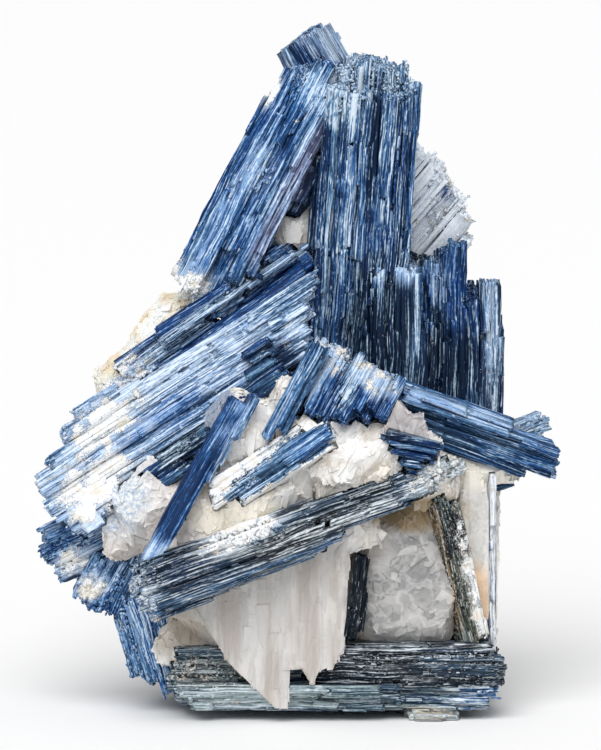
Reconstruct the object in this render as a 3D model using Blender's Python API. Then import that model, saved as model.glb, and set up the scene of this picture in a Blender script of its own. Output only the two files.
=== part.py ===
"""Kyanite blade cluster: bundles of flat kyanite blades grown through a lump of milky quartz.

The specimen stands on the flat underside of its lowest blades. +Z is up, -Y is the front, and the
origin is the centre of the resting face. Sizes below are in millimetres and are scaled by MM. Heights
in the tables are measured from the lower front edge, which hangs LIFT above the resting face.

Every bundle is a row, or several rows, of parallel blades that grew side by side, so its blades are
one solid. Where two bundles cross, the one listed later is cut round the earlier one, with a
clearance of GAP. The quartz is cut last, round all of them.
"""

import math
import random
from collections import namedtuple

import bmesh
import bpy
from mathutils import Euler, Matrix, Vector

MM = 0.001

GAP = 0.3  # clearance between two crystals that touch
LIFT = 2.5  # how far the lower front edge hangs above the resting face
SIDE_OVERLAP = 0.35  # how far neighbouring blades of one bundle grow into each other
FACE_STEP = 0.45  # most that a blade's face stands off its row's face
LEAN = 0.9  # most that a blade leans off its bundle's axis, in degrees
FACET_SWING = 0.3  # most that a quartz facet turns off its even place round the lump, in radians
FACET_DEPTH = 0.14  # most that a quartz facet is broken back, as a share of the lump's reach there
WELD = 0.002  # corners nearer than this are one corner
FLAT = 0.5  # faces that meet at less than this angle, in degrees, are one face
SEED = 41
LUMP_SEED = 12

# A bundle runs from foot to tip. turn rolls its broad face about its axis, in degrees, from facing
# the front. taper is the share of its width that is left at the tip.
Bundle = namedtuple("Bundle", "foot tip turn taper finish rows")
# A row of blades lies between depths back and front off the axis, and starts at left. tips and feet
# say how far each blade reaches past the bundle's tip and starts above its foot. slope is the rise
# of the tips' ends across the row, and rake is the most that a broken end rises, per unit of width.
Row = namedtuple("Row", "back front left widths tips feet slope rake", defaults=(0.0, 0.35))

BUNDLES = {
    # The tall dark column of blades that makes the upper middle of the cluster.
    "tall_centre_blades": Bundle(
        (11.5, -3, 66.5), (16.6, -2.5, 141), 4, 1.0, "dark_kyanite",
        (
            Row(-9, 1, -9, (4, 3.2, 3, 3, 3, 2.4), (-2.8, 0.4, 0.9, 0.2, -1.6, -4.8), (0, 0, 0, 0, 0, 0)),
            Row(0, 8, -9.4, (3.4, 2.6, 3, 2.2, 3.4, 3.8), (-6, -8, -7, -8.6, -7.4, -6), (4, 1, 0, 0, 2, 3)),
            Row(-4, 4.6, -11.2, (1.4, 2), (-22, -13), (31, 27)),
        ),
    ),
    # The blades that lean against the column from the left.
    "left_fan_blades": Bundle(
        (-20.3, -7, 84.6), (8.2, -3, 140.6), -8, 0.86, "blue_kyanite",
        (
            Row(-5, -0.6, -11.6, (2.2, 2.6), (-12.6, -4.4), (9, 4)),
            Row(-6, 0.6, -7.6, (3.2, 4, 4, 3.8), (-4, -1, 0, -2.5), (6, 0, 1, 28)),
            Row(0, 4, -7.6, (3, 3.4), (-5, -1.2), (3, 15)),
            Row(0, 5, 0.4, (2.6, 1.9), (-5, -7), (9, 12)),
            Row(-2, 3, 4.8, (3.2,), (-13,), (31,)),
        ),
    ),
    # The block whose square end stands highest, behind the fan.
    "top_block": Bundle(
        (12.6, 8, 125.6), (0.7, 7.5, 146.4), -24, 1.0, "blue_kyanite",
        (Row(-4.5, 3.6, -5.5, (3.4, 2.9, 2.4, 1.9), (-0.2, 0.2, 0, -0.7), (0, 0, 0, 0), 0.15, 0.08),),
    ),
    # Short upright columns at the right, some in front of the tall ones.
    "right_row_blades": Bundle(
        (29.4, -4, 61.5), (29.4, -3, 99), 3, 1.0, "dark_kyanite",
        (
            Row(-11, 1, -7.4, (3.6, 2.2, 2.9, 1.9, 2, 1.6), (-2.4, -4, -1.4, 0.8, 1.4, 2), (0,) * 6),
            Row(-8, 2, 6.6, (3, 0.8, 3.2, 1.1), (-8.6, -13, -6.2, -11), (0, -1, -1, -2)),
            Row(1, 8.4, -15.2, (3.3, 2.9, 2.7, 3), (-3.1, -4.9, -2.7, -4), (12, 10, 7, 5)),
            Row(0, 3.4, -1.2, (2.9,), (-5,), (24.5,)),
            Row(0, 3.2, -1.4, (3.2, 2.4, 2.4), (-15, -19, -14), (0, 0, 1)),
        ),
    ),
    # Pale blades with ragged ends, slanting up behind the column on the right.
    "back_right_blades": Bundle(
        (19, 13, 92.3), (35.9, 15, 111.4), 0, 1.0, "pale_kyanite",
        (
            Row(-5, 4, -14.2, (4, 4, 4, 4, 3.6, 3.6), (1.2, 1.6, 0.4, -1.4, -2.4, -6), (5, 2, 0, 0, 0, 2)),
        ),
    ),
    # The dark ridge blade that runs down to the left.
    "upper_left_blade": Bundle(
        (-45.2, -9, 64.2), (4.7, -7, 99), -14, 1.0, "blue_kyanite",
        (
            Row(-5, 1, -5.6, (3.2, 3.8, 3.6), (-4, 0, 0), (9, 4, 6)),
            Row(0, 2.8, -5.8, (3.4,), (-6,), (20,)),
        ),
    ),
    # The broad pale blade in front of it, striated from end to end.
    "pale_broad_blade": Bundle(
        (-54.4, -14, 48.4), (6.5, -14, 88.2), -16, 1.0, "pale_kyanite",
        (
            Row(
                -5, 1.4, -7.6, (2.9, 2.9, 2.9, 2.9, 2.4), (0.4, -2.4, -4.8, -7.2, -9.4),
                (23, 0.4, -2.6, -4, -3.4), -0.8,
            ),
            Row(-5.4, 0.6, -11.4, (2.2, 2.2), (-48, -44), (12, 7)),
            Row(-7, 0.8, 6, (1.8, 1.8, 1.8, 1.8), (-55.6, -59.6, -63.4, -67), (-2.4, -2, -1.2, 0.4), -0.8),
        ),
    ),
    # A dark blade under its lower edge, with a broken end that stands out.
    "dark_under_blade": Bundle(
        (-34.6, -15, 53), (-3.4, -14, 74.2), -10, 1.0, "dark_kyanite",
        (
            Row(-4, 0.4, -4, (3, 3.4), (-1, 0), (4, 1)),
            Row(-1, 4, -7, (3.2, 3.4, 3), (1.6, 0, 0.8), (30.5, 29, 27)),
            Row(-1, 4.6, 2, (2.4, 2.6), (-21, -27), (-2, 1)),
        ),
    ),
    # The long blue blade that stands free in front.
    "narrow_blue_blade": Bundle(
        (-33.2, -31, 30.5), (-11.5, -24, 69.8), 14, 1.0, "blue_kyanite",
        (Row(-1.4, 1.6, -2.5, (3, 0.3, 1, 0.6), (-1.2, 0.2, 0.5, 0.2), (0, 15, 23.6, 35), 0.7, 0.15),),
    ),
    "thin_blue_blade": Bundle(
        (-6.2, -25, 60.8), (4.7, -22.5, 80.7), 8, 0.8, "blue_kyanite",
        (Row(-0.9, 0.8, -1.6, (1.1, 2.3), (0, -0.4), (-1.6, 1.4)),),
    ),
    # The squat block in the middle, its blades cut off along a sloping ridge.
    "centre_block": Bundle(
        (9.2, -21, 64.4), (14.6, -18.5, 75.2), -10, 1.0, "blue_kyanite",
        (
            Row(-7, 3, -11.4, (3, 3.5, 2.6, 4, 3.6, 3.4), (1.2, 0.6, -0.4, 0.4, -0.4, -1),
                (-3.6, -2.6, -3.2, -0.8, 0.8, 3.4)),
        ),
    ),
    # The blade that runs out to the right over the quartz.
    "right_blade": Bundle(
        (21.2, -17, 67.2), (56.2, -13, 54.2), 12, 1.0, "blue_kyanite",
        (
            Row(-4, 1.8, -3.4, (2, 2.6), (-11, 0.4), (-1, -0.4)),
            Row(-3.6, 2.2, 1.2, (2.5, 2.4), (1.4, -5), (2.6, 8)),
        ),
    ),
    "grey_stub_blades": Bundle(
        (40, 2, 54.4), (55, 6, 59.8), 0, 1.0, "dark_kyanite",
        (Row(-2.4, 2, -2.8, (2, 1.8, 2), (-0.6, 0.6, -1.8), (0, 0, 0)),),
    ),
    "dark_wedge_blades": Bundle(
        (17.2, -25.5, 59.9), (29.9, -22, 56.4), 10, 1.0, "dark_kyanite",
        (Row(-1.8, 1.4, -1.6, (1.4, 1.8, 2, 2.2), (0.2, -0.4, -2.4, -3.6), (0, 2.6, 5.6, 7.4)),),
    ),
    # A worn blade that lies in the white quartz.
    "worn_blade": Bundle(
        (-19.1, -26, 45.9), (6.6, -24, 62.6), -18, 1.0, "blue_kyanite",
        (Row(-2.6, 1.8, -3.8, (2.6, 2.7, 2.5), (-6, 0, -1.6), (2, 0, 5)),),
    ),
    # The heavy blade that crosses the front, thick at its free left end.
    "long_cross_blade": Bundle(
        (-32.4, -32.5, 28.2), (36.4, -20, 52.9), -6, 0.62, "dark_kyanite",
        (
            Row(-6, 2, -6, (3, 3.2, 3.2, 3.2), (-3, 0, -9, -34), (-1.2, -2.8, -2.4, -0.7)),
            Row(0, 5, -4.6, (3.2, 3.2, 3.2), (-16, -9, -30), (-0.8, -2.2, -1)),
        ),
    ),
    # A short dark blade seen end to end between two quartz lumps.
    "inclusion_blade": Bundle(
        (11.4, -22.5, 15.6), (13.6, -22, 34.6), 0, 0.8, "dark_kyanite",
        (Row(-1.6, 1.2, -1.6, (1.7, 1.5), (0, -0.6), (0, 1.6)),),
    ),
    # The greenish seam that climbs the right side.
    "green_seam": Bundle(
        (38.4, -16, 11.5), (30.6, -18, 47), 20, 0.9, "green_seam",
        (Row(-3.4, 2.2, -2.6, (2.4, 2.8), (0, -2), (0, 3)),),
    ),
    "edge_needle": Bundle(
        (42.2, -11.6, 11), (41.4, -11.6, 51), -84, 1.0, "blue_kyanite",
        (Row(-0.5, 0.5, -2.4, (4.8,), (0,), (0,)),),
    ),
    "right_splinter": Bundle(
        (40.5, -7, 47.4), (47.2, -7, 48.6), 0, 0.6, "blue_kyanite",
        (Row(-1.1, 1.1, -1.1, (2.2,), (0,), (0,)),),
    ),
    # Blocky blades that stick out at the lower left.
    "left_chunk": Bundle(
        (-56.2, -4, 31.6), (-42, -4, 38.4), 0, 1.0, "blue_kyanite",
        (Row(-6, 6, -5, (3.2, 2.8, 5), (0, 0, 0), (0.4, -1.4, 0)),),
    ),
    "left_low_chunk": Bundle(
        (-47.4, -8, 18.4), (-40.6, -7, 31.6), 6, 1.0, "blue_kyanite",
        (Row(-5.6, 5, -5.2, (3.2, 3.4, 3.6), (-1, 2, 3), (4.6, 2, 3)),),
    ),
    # Granular blades that come down to the base on the left.
    "left_column": Bundle(
        (-30.4, -5, 1.4), (-39.4, -5, 34), 0, 1.0, "blue_kyanite",
        (Row(-7, 7, -5, (2.6, 2.8, 2.6, 2.8), (-6, 0, 0.6, -3), (5, 1.6, 0, 0)),),
    ),
    # Flat-lying blades that the specimen stands on, and darker ones over them at the right.
    "base_blades": Bundle(
        (-31.6, -2, 2.8), (43.8, -2, 2.8), 0, 1.0, "green_kyanite",
        (
            Row(8, 17, -9.8, (3.4, 3.8), (-46, -42), (5, 3)),
            Row(12, 20.6, -2.4, (2.8, 2.4), (-22, -24), (4, 7)),
            Row(11, 18, -2, (2.6, 2.3), (-0.4, -2.4), (46, 48)),
            Row(9, 19, 2.6, (3,), (-9.6,), (54,)),
            Row(0, 13, -3.6, (3.4, 3.2), (-1, -3), (2, 4)),
            Row(-12, 1, -3.2, (3.2, 6), (-2, -4), (-2, 4)),
            Row(-22, -11, -2.8, (2.8, 5.6), (-8, -12), (6, 10)),
        ),
    ),
    "base_dark_blades": Bundle(
        (6, -2, 9.8), (44.6, -2, 9.4), 0, 1.0, "dark_kyanite",
        (
            Row(8, 19, -4.2, (2.6, 3, 2.8), (-3.4, -1, 0), (3, 0, -4)),
            Row(-4, 9, -4, (4, 4.2), (-2.4, -0.6), (8, 6)),
            Row(-16, -3, -3.6, (4, 3.8), (-4, -3), (14, 10)),
        ),
    ),
    # Blades on the far side of the quartz.
    "back_tall_blades": Bundle(
        (-20, 19, 12), (4, 14, 98), 176, 1.0, "blue_kyanite",
        (
            Row(-5, 3, -8, (4, 4.2, 4, 4), (-8, 0, -3, -14), (6, 0, 2, 10)),
            Row(2, 5.4, -4, (3.4, 3.4), (-24, -18), (14, 20)),
        ),
    ),
    "back_cross_blades": Bundle(
        (38.6, 15, 12), (11, 20, 60), 184, 1.0, "pale_kyanite",
        (Row(-5, 3, -7.6, (3.4, 3.6, 3.2, 3, 3), (-3, 0, -5, -9, -2), (2, 0, 4, 7, 9)),),
    ),
    "back_upper_blades": Bundle(
        (20, 13, 74), (-10, 16, 112), 182, 1.0, "dark_kyanite",
        (Row(-4, 3, -5.6, (3.2, 4, 3.4), (-3, 0, -5), (0, 2, 6)),),
    ),
    "back_short_blades": Bundle(
        (-36, 12, 40), (-14, 17, 74), 170, 1.0, "dark_kyanite",
        (Row(-4.6, 3, -6.4, (3.2, 3.4, 3, 3), (-2, 0, -4, -1), (0, 1, 3, 0)),),
    ),
}

# A lump is a block of half-size half, broken back to flat facets by planes all round it.
Lump = namedtuple("Lump", "centre half tilt facets squareness")

QUARTZ_LUMPS = (
    Lump((5, 2, 40), (33, 17, 37), (0, 0, 0), 26, 2.6),  # the heart of the quartz
    Lump((4, 9, 86), (15, 8, 29), (0, -12, 0), 18, 3.4),  # up behind the column
    Lump((-1.5, 1.5, 103), (7.5, 6.5, 8), (0, -10, 0), 16, 2.2),  # seen between the column and the fan
    Lump((-7, -15.5, 50), (14, 10, 9.5), (0, -22, 6), 18, 2.4),  # white middle, in three lumps
    Lump((11, -16, 55), (15, 11, 9), (8, -14, -6), 18, 2.4),
    Lump((26, -14.5, 51), (8.4, 9.5, 8), (0, 6, 0), 14, 2.2),
    Lump((-31, -14, 44), (10.4, 9.4, 10), (0, 14, 8), 16, 2.1),  # left shoulder
    Lump((-38, -10, 38.5), (6.4, 8, 7), (0, -20, 0), 12, 3.0),
    Lump((-24, -3, 44), (17, 10, 11), (0, 10, 0), 16, 2.4),  # joins the shoulder to the heart
    Lump((-21, -19, 43), (9, 7, 9), (0, 20, 0), 14, 2.2),
    Lump((-10, -19.4, 45), (12, 8, 7), (0, -20, 0), 14, 2.0),  # between the worn blade and the long one
    Lump((13.4, -17, 50.4), (12, 8.2, 6.8), (0, -20, 0), 14, 2.0),
    Lump((2, -18, 60.5), (9, 7, 6.5), (0, -10, 0), 14, 2.2),
    Lump((-12, -16, 61), (9.5, 7.4, 8.4), (10, 22, 0), 14, 2.2),  # under the pale blade
    Lump((-2, -18, 67), (6, 5.6, 5.4), (0, 10, 0), 12, 3.0),
    Lump((23.4, -10, 28), (13.8, 10, 19), (0, 5, 0), 30, 1.5),  # granular lump, lower right
    Lump((38.5, -2, 31.5), (5, 12, 23.5), (0, 1, 0), 14, 1.35),  # right wall
    Lump((38, -6, 51.6), (10.4, 9, 4.4), (0, 8, 0), 14, 2.4),  # ledge under the right blade
    Lump((-20, -7, 20), (15, 12, 13), (0, 25, 0), 18, 3.0),  # lower left
    Lump((-25.6, -12, 12.5), (6.4, 7, 5), (0, 20, 0), 12, 3.0),
)

# The broken sheet of quartz that hangs in front of the base, as X, Z points round its edge.
CURTAIN_OUTLINE = (
    (-32, 30), (-30.5, 22), (-21, 19.5), (-15.4, 10.5), (-8.2, 3.4), (-5.4, 0.7), (-2.8, 0.6), (-2.5, 9.2),
    (0.2, 9.4), (2.6, 5.8), (4.0, 8.8), (7.6, 10.6), (9.6, 14.2), (10.6, 34.8), (17.5, 37), (17, 43),
    (-10, 42),
)
CURTAIN_MIDDLE_Y = -19.5
CURTAIN_THICKNESS = 9.0
# Points of clear quartz at the right, over the dark wedge.
POINTS_OUTLINE = (
    (17.6, 58), (18.2, 62.6), (20.8, 68.4), (24, 64.6), (26.2, 64.8), (27, 61.4), (30.6, 59), (30, 54),
    (18, 54),
)
POINTS_MIDDLE_Y = -20.0
POINTS_THICKNESS = 6.0

FELDSPAR_LUMPS = (
    Lump((-30, 3, 79.6), (6.2, 8, 13), (0, 36, 0), 18, 2.8),
    Lump((-38.4, 0, 70.2), (6.6, 8, 7.8), (0, 34, 0), 14, 2.8),
)

# Base colour and roughness of each kind of crystal.
FINISHES = {
    "blue_kyanite": ((0.055, 0.16, 0.46), 0.35),
    "dark_kyanite": ((0.035, 0.07, 0.16), 0.4),
    "pale_kyanite": ((0.42, 0.55, 0.78), 0.45),
    "green_kyanite": ((0.16, 0.27, 0.36), 0.4),
    "green_seam": ((0.16, 0.16, 0.12), 0.6),
    "quartz": ((0.86, 0.84, 0.80), 0.3),
    "feldspar": ((0.86, 0.78, 0.66), 0.55),
}

rng = random.Random(SEED)
lump_rng = random.Random(LUMP_SEED)


def clear_scene():
    for obj in list(bpy.data.objects):
        bpy.data.objects.remove(obj, do_unlink=True)


def make_collection(name, parent=None, is_cutter=False):
    collection = bpy.data.collections.new(name)
    (parent or bpy.context.scene.collection).children.link(collection)
    collection.hide_render = is_cutter
    return collection


def put_in(collection, obj):
    """Links the object. One that goes in with the cutters is not rendered, and shows as wire."""
    collection.objects.link(obj)
    obj.hide_render = collection.hide_render
    obj.display_type = "WIRE" if collection.hide_render else "TEXTURED"


def make_materials():
    materials = {}
    for name, (colour, roughness) in FINISHES.items():
        material = bpy.data.materials.new(name)
        material.use_nodes = True
        shader = material.node_tree.nodes["Principled BSDF"]
        shader.inputs["Base Color"].default_value = (*colour, 1.0)
        shader.inputs["Roughness"].default_value = roughness
        shader.inputs["Metallic"].default_value = 0.0
        materials[name] = material
    return materials


def bundle_matrix(bundle):
    """The bundle's frame: Z from foot to tip, -Y out of its broad face, its origin at its foot."""
    foot, tip = Vector(bundle.foot), Vector(bundle.tip)
    along = (tip - foot).normalized()
    front = Vector((0, -1, 0))
    normal = (front - along * front.dot(along)).normalized()
    normal.rotate(Matrix.Rotation(math.radians(bundle.turn), 3, along))
    across = along.cross(normal)
    turned = Matrix((across, -normal, along)).transposed().to_4x4()
    return Matrix.Translation((foot + Vector((0, 0, LIFT))) * MM) @ turned


def lean_matrix():
    """A slight lean of one blade off its bundle's axis."""
    return Euler([math.radians(rng.uniform(-LEAN, LEAN)) for _ in range(3)]).to_matrix().to_4x4()


def blade_boxes(bundle):
    """Each blade of the bundle as (low corner, high corner, rakes, lean), in the bundle's frame."""
    length = (Vector(bundle.tip) - Vector(bundle.foot)).length
    boxes = []
    for row in bundle.rows:
        left = row.left
        for width, tip, foot in zip(row.widths, row.tips, row.feet):
            step = rng.uniform(-FACE_STEP, FACE_STEP)
            low = Vector((left - SIDE_OVERLAP, -row.front - step, foot))
            high = Vector((left + width + SIDE_OVERLAP, -row.back - 0.5 * step, length + tip))
            rakes = [rng.uniform(-row.rake, row.rake) for _ in range(4)]
            rakes[0] += row.slope
            boxes.append((low, high, rakes, lean_matrix()))
            left += width
    return boxes


def make_blade(name, bundle, box, grow, collection):
    """One blade: a box with raked ends, in place, grown by grow on every side."""
    low, high, rakes, lean = box
    middle, size = (low + high) / 2, high - low
    length = (Vector(bundle.tip) - Vector(bundle.foot)).length
    bm = bmesh.new()
    bmesh.ops.create_cube(bm, size=1.0)
    for vert in bm.verts:
        corner = vert.co.copy()
        side = Vector((math.copysign(1, c) for c in corner))
        place = Vector(c * s for c, s in zip(corner, size))
        tilt = rakes[:2] if side.z > 0 else rakes[2:]
        place.z += tilt[0] * place.x + tilt[1] * place.y
        place = middle + (lean @ place)
        place.x *= 1 - (1 - bundle.taper) * place.z / length
        vert.co = (place + side * grow) * MM
    mesh = bpy.data.meshes.new(name)
    bm.to_mesh(mesh)
    bm.free()
    blade = bpy.data.objects.new(name, mesh)
    blade.matrix_world = bundle_matrix(bundle)
    put_in(collection, blade)
    return blade


def lump_planes(lump):
    """The facets of a lump as (outward direction, distance), spread evenly round it."""
    golden_turn = math.pi * (3 - math.sqrt(5))
    planes = []
    for i in range(lump.facets):
        height = 1 - 2 * (i + 0.5) / lump.facets
        around = golden_turn * i + lump_rng.uniform(-FACET_SWING, FACET_SWING)
        ring = math.sqrt(1 - height * height)
        direction = Vector((ring * math.cos(around), ring * math.sin(around), height)).normalized()
        reach = sum(abs(d * h) ** lump.squareness for d, h in zip(direction, lump.half))
        planes.append((direction, reach ** (1 / lump.squareness) * lump_rng.uniform(1 - FACET_DEPTH, 1.0)))
    return planes


def make_lump(name, lump, planes, grow, collection):
    """A block cut back by its facet planes, each of them moved out by grow."""
    bm = bmesh.new()
    bmesh.ops.create_cube(bm, size=2.0)
    bmesh.ops.scale(bm, vec=Vector(lump.half) + Vector((grow, grow, grow)), verts=bm.verts)
    for direction, distance in planes:
        cut = bmesh.ops.bisect_plane(
            bm, geom=bm.verts[:] + bm.edges[:] + bm.faces[:], plane_co=direction * (distance + grow),
            plane_no=direction, clear_outer=True,
        )
        edges = [item for item in cut["geom_cut"] if isinstance(item, bmesh.types.BMEdge)]
        if edges:
            bmesh.ops.edgeloop_fill(bm, edges=edges)
    bmesh.ops.recalc_face_normals(bm, faces=bm.faces)
    bmesh.ops.scale(bm, vec=(MM, MM, MM), verts=bm.verts)
    mesh = bpy.data.meshes.new(name)
    bm.to_mesh(mesh)
    bm.free()
    obj = bpy.data.objects.new(name, mesh)
    obj.location = (Vector(lump.centre) + Vector((0, 0, LIFT))) * MM
    obj.rotation_euler = [math.radians(angle) for angle in lump.tilt]
    put_in(collection, obj)
    return obj


def make_sheet(name, outline, middle_y, thickness, collection):
    """A flat sheet standing across the front: an X, Z outline given a thickness along Y."""
    curve = bpy.data.curves.new(name, "CURVE")
    curve.dimensions = "2D"
    curve.fill_mode = "BOTH"
    curve.extrude = thickness * MM / 2
    spline = curve.splines.new("POLY")
    spline.points.add(len(outline) - 1)
    for point, (x, z) in zip(spline.points, outline):
        point.co = (x * MM, z * MM, 0, 1)
    spline.use_cyclic_u = True
    flat = bpy.data.objects.new(name, curve)
    flat.location = (0, middle_y * MM, LIFT * MM)
    flat.rotation_euler = (math.radians(90), 0, 0)
    put_in(collection, flat)
    bpy.context.view_layer.update()
    mesh = bpy.data.meshes.new_from_object(flat.evaluated_get(bpy.context.evaluated_depsgraph_get()))
    bm = bmesh.new()
    bm.from_mesh(mesh)
    bmesh.ops.remove_doubles(bm, verts=bm.verts, dist=WELD * MM)
    bmesh.ops.recalc_face_normals(bm, faces=bm.faces)
    bm.to_mesh(mesh)
    bm.free()
    solid = bpy.data.objects.new(name, mesh)
    solid.matrix_world = flat.matrix_world
    bpy.data.objects.remove(flat)
    put_in(collection, solid)
    return solid


def box_of(objects):
    """Lowest and highest corner of these objects in the world."""
    corners = [obj.matrix_world @ Vector(corner) for obj in objects for corner in obj.bound_box]
    return [min(c[i] for c in corners) for i in range(3)], [max(c[i] for c in corners) for i in range(3)]


def boxes_meet(first, second):
    return all(first[0][i] < second[1][i] and second[0][i] < first[1][i] for i in range(3))


def apply_modifiers(obj):
    """Bakes the modifiers in, drops coplanar edges, and keeps the one largest body."""
    bpy.context.view_layer.update()
    mesh = bpy.data.meshes.new_from_object(obj.evaluated_get(bpy.context.evaluated_depsgraph_get()))
    obj.modifiers.clear()
    obj.data = mesh
    bm = bmesh.new()
    bm.from_mesh(mesh)
    bmesh.ops.remove_doubles(bm, verts=bm.verts, dist=WELD * MM)
    bmesh.ops.dissolve_limit(bm, angle_limit=math.radians(FLAT), verts=bm.verts, edges=bm.edges)
    bmesh.ops.triangulate(bm, faces=bm.faces)
    drop_chips(bm)
    bm.to_mesh(mesh)
    bm.free()


def drop_chips(bm):
    """A cut can leave loose chips. Only the largest body stays."""
    bodies, seen = [], set()
    for start in bm.verts:
        if start in seen:
            continue
        body, todo = [], [start]
        seen.add(start)
        while todo:
            vert = todo.pop()
            body.append(vert)
            for edge in vert.link_edges:
                other = edge.other_vert(vert)
                if other not in seen:
                    seen.add(other)
                    todo.append(other)
        bodies.append(body)
    largest = max(bodies, key=len)
    chips = [vert for body in bodies if body is not largest for vert in body]
    bmesh.ops.delete(bm, geom=chips, context="VERTS")


def cut_flat_at_floor(obj):
    """Takes off what lies under the resting plane, Z = 0."""
    bm = bmesh.new()
    bm.from_mesh(obj.data)
    bm.transform(obj.matrix_world)
    cut = bmesh.ops.bisect_plane(
        bm, geom=bm.verts[:] + bm.edges[:] + bm.faces[:], plane_co=(0, 0, 0), plane_no=(0, 0, -1),
        clear_outer=True,
    )
    edges = [item for item in cut["geom_cut"] if isinstance(item, bmesh.types.BMEdge)]
    if edges:
        bmesh.ops.edgeloop_fill(bm, edges=edges)
        bmesh.ops.triangulate(bm, faces=bm.faces)
    bm.transform(obj.matrix_world.inverted())
    bm.to_mesh(obj.data)
    bm.free()


def join_solids(name, pieces, collection, material):
    """One object that is the union of these solids, which are kept only as its operands."""
    node = pieces[0].copy()
    node.data = pieces[0].data.copy()
    node.name = name
    put_in(collection, node)
    if len(pieces) > 1:
        others = make_collection(name + "_others", bpy.data.collections["cutters"], is_cutter=True)
        for piece in pieces[1:]:
            others.objects.link(piece)
        union = node.modifiers.new("grow_together", "BOOLEAN")
        union.operation = "UNION"
        union.operand_type = "COLLECTION"
        union.collection = others
        union.solver = "EXACT"
        union.use_self = True
    apply_modifiers(node)
    node.data.materials.clear()
    node.data.materials.append(material)
    return node


def cut_round(node, clearance):
    """Cuts the node back from every earlier bundle's clearance that it meets."""
    own_box = box_of([node])
    for name, (collection, box) in clearance.items():
        if boxes_meet(own_box, box):
            cut = node.modifiers.new("round_" + name, "BOOLEAN")
            cut.operation = "DIFFERENCE"
            cut.operand_type = "COLLECTION"
            cut.collection = collection
            cut.solver = "EXACT"
    if node.modifiers:
        apply_modifiers(node)


def main():
    clear_scene()
    cluster = make_collection("kyanite_blade_cluster")
    cutters = make_collection("cutters", is_cutter=True)
    materials = make_materials()
    clearance = {}
    for name, bundle in BUNDLES.items():
        boxes = blade_boxes(bundle)
        blades = [make_blade(f"{name}_blade", bundle, box, 0.0, cutters) for box in boxes]
        room = make_collection(name + "_clearance", cutters, is_cutter=True)
        rooms = [make_blade(f"{name}_room", bundle, box, GAP, room) for box in boxes]
        bpy.context.view_layer.update()
        node = join_solids(name, blades, cluster, materials[bundle.finish])
        cut_round(node, clearance)
        cut_flat_at_floor(node)
        clearance[name] = (room, box_of(rooms))
    room = make_collection("feldspar_clearance", cutters, is_cutter=True)
    patches, rooms = [], []
    for lump in FELDSPAR_LUMPS:
        planes = lump_planes(lump)
        patches.append(make_lump("feldspar_lump", lump, planes, 0.0, cutters))
        rooms.append(make_lump("feldspar_room", lump, planes, GAP, room))
    bpy.context.view_layer.update()
    feldspar = join_solids("feldspar_patch", patches, cluster, materials["feldspar"])
    cut_round(feldspar, clearance)
    clearance["feldspar_patch"] = (room, box_of(rooms))
    lumps = [make_lump("quartz_lump", lump, lump_planes(lump), 0.0, cutters) for lump in QUARTZ_LUMPS]
    lumps.append(make_sheet("quartz_curtain", CURTAIN_OUTLINE, CURTAIN_MIDDLE_Y, CURTAIN_THICKNESS, cutters))
    lumps.append(make_sheet("quartz_points", POINTS_OUTLINE, POINTS_MIDDLE_Y, POINTS_THICKNESS, cutters))
    bpy.context.view_layer.update()
    quartz = join_solids("quartz_matrix", lumps, cluster, materials["quartz"])
    cut_round(quartz, clearance)
    cut_flat_at_floor(quartz)


main()
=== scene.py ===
import math
import random
from collections import namedtuple

import bpy
import numpy as np
from mathutils import Matrix, Vector
from mathutils.bvhtree import BVHTree


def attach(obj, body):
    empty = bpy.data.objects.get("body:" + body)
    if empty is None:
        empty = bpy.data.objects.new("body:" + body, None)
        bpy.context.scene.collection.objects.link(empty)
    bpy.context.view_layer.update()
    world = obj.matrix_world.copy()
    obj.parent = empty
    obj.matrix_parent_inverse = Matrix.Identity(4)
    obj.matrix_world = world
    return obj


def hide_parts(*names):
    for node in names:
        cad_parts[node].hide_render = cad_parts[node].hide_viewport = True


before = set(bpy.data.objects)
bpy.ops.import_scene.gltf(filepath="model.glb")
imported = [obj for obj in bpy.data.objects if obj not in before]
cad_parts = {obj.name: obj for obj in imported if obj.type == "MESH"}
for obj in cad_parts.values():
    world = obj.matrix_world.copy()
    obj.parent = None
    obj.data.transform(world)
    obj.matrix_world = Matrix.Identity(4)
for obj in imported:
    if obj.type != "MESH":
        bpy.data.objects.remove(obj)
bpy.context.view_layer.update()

MM = 0.001


# Camera. It stands 0.9 m in front of the cluster and a little above its middle, with a long lens, so
# that the blades keep their true proportions.
CAMERA_DISTANCE = 0.9
CAMERA_ELEVATION = math.radians(6)
AIM = Vector((0, 0, 0.0737))
VIEW_HEIGHT = 0.1665  # what the frame takes in, top to bottom, at the aim
SENSOR = 24  # height of the sensor in millimetres

camera_back = Vector((0, -math.cos(CAMERA_ELEVATION), math.sin(CAMERA_ELEVATION)))
bpy.ops.object.camera_add(location=AIM + camera_back * CAMERA_DISTANCE)
camera = bpy.context.object
camera.name = "camera"
camera.rotation_euler = (-camera_back).to_track_quat("-Z", "Y").to_euler()
camera.data.sensor_fit = "VERTICAL"
camera.data.sensor_height = SENSOR
camera.data.lens = SENSOR * CAMERA_DISTANCE / VIEW_HEIGHT
camera.data.clip_start = 0.01
bpy.context.scene.camera = camera


# The tall dark column: kyanite blades that grew side by side through the upper middle of the cluster,
# blue black, with pale hair lines and broken tops. Kyanite splits along its length, so each blade is a
# pack of long laths that stand a little proud of one another, its foot held by the quartz.
LATH_SIZES = ((3, 6), (5, 14), (9, 34), (16, 1000))  # length in units, and up to what length in mm it serves
LIFT = 2.5  # heights of patches and rubble are measured from the lower front edge, which is this far up


def deselect():
    bpy.ops.object.select_all(action="DESELECT")


def cut_off(spot, way):
    """Cuts off what lies past a plane and closes the cut, in edit mode."""
    bpy.ops.mesh.select_all(action="SELECT")
    bpy.ops.mesh.bisect(plane_co=spot, plane_no=way, use_fill=True, clear_outer=True)


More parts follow.
